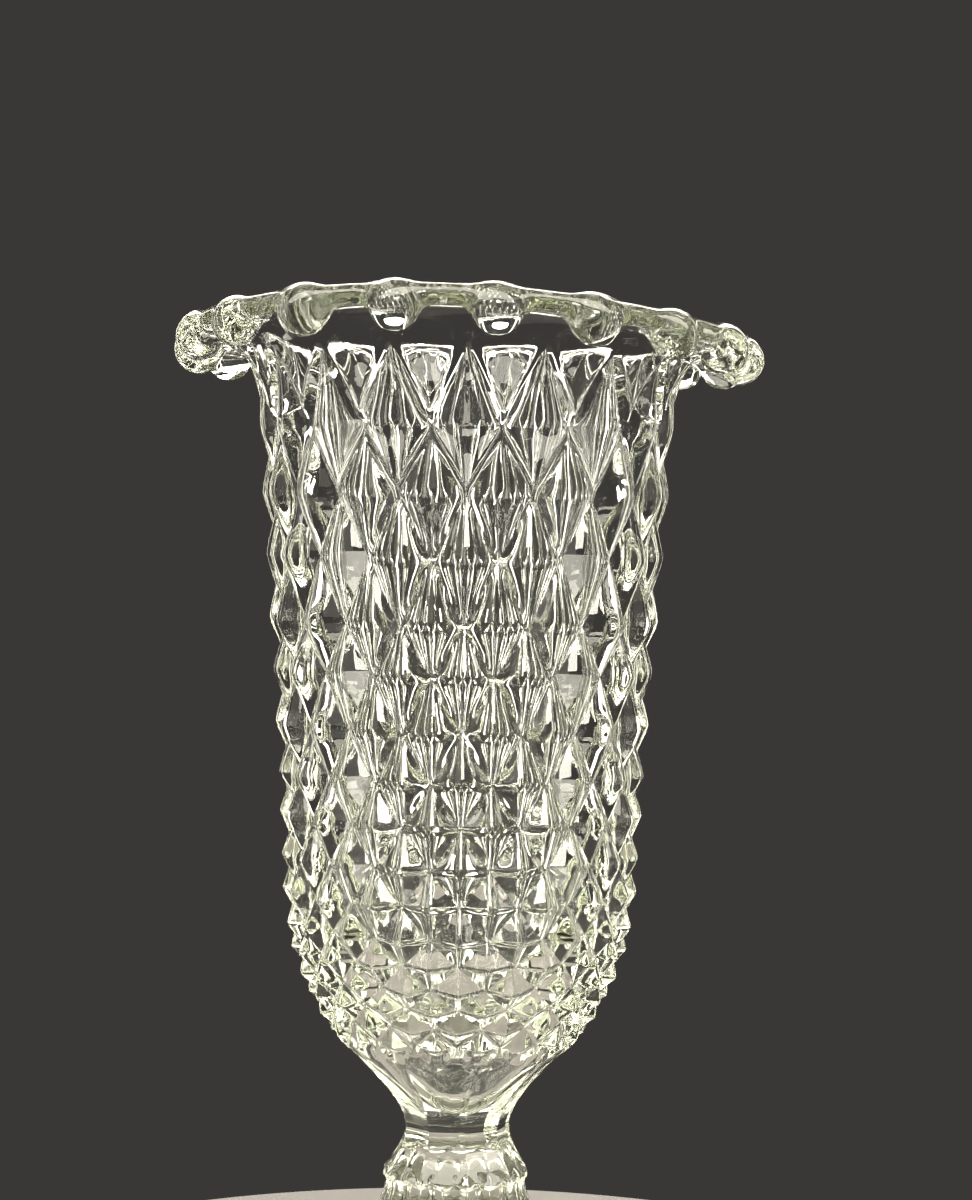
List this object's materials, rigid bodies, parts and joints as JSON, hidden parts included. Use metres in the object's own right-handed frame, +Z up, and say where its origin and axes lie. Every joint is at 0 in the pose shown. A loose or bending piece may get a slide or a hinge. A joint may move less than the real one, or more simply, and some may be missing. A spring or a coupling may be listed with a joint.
{
  "type": "vase",
  "caption": "Footed clear pressed-glass vase with a diamond-point bowl, a panelled stem and a turned-out beaded rim; holds cut flowers and stands on a table.",
  "frame": {"origin": "centre of the foot's underside, on the surface the vase stands on", "axes": "+Z up along the vase's axis, -Y to the front, where the turned-out rim stands highest, +X to the right as seen from the front"},
  "size_m": [0.1528, 0.1526, 0.2661],
  "materials": {
    "foot_glass": "clear, fire-polished, faint green-grey cast",
    "stem_glass": "clear, fire-polished, faint green-grey cast",
    "bowl_glass": "clear, fire-polished diamond points",
    "rim_glass": "clear, fire-polished, faint green-grey cast",
    "bead_glass": "clear, fire-polished, glossy"
  },
  "bodies": {
    "root": {"foot": "foot_glass", "stem": "stem_glass", "bowl": "bowl_glass", "rim": "rim_glass", "rim_bead_01": "bead_glass", "rim_bead_02": "bead_glass", "rim_bead_03": "bead_glass", "rim_bead_04": "bead_glass", "rim_bead_05": "bead_glass", "rim_bead_06": "bead_glass", "rim_bead_07": "bead_glass", "rim_bead_08": "bead_glass", "rim_bead_09": "bead_glass", "rim_bead_10": "bead_glass", "rim_bead_11": "bead_glass", "rim_bead_12": "bead_glass", "rim_bead_13": "bead_glass", "rim_bead_14": "bead_glass", "rim_bead_15": "bead_glass", "rim_bead_16": "bead_glass", "rim_bead_17": "bead_glass", "rim_bead_18": "bead_glass"}
  },
  "joints": []
}
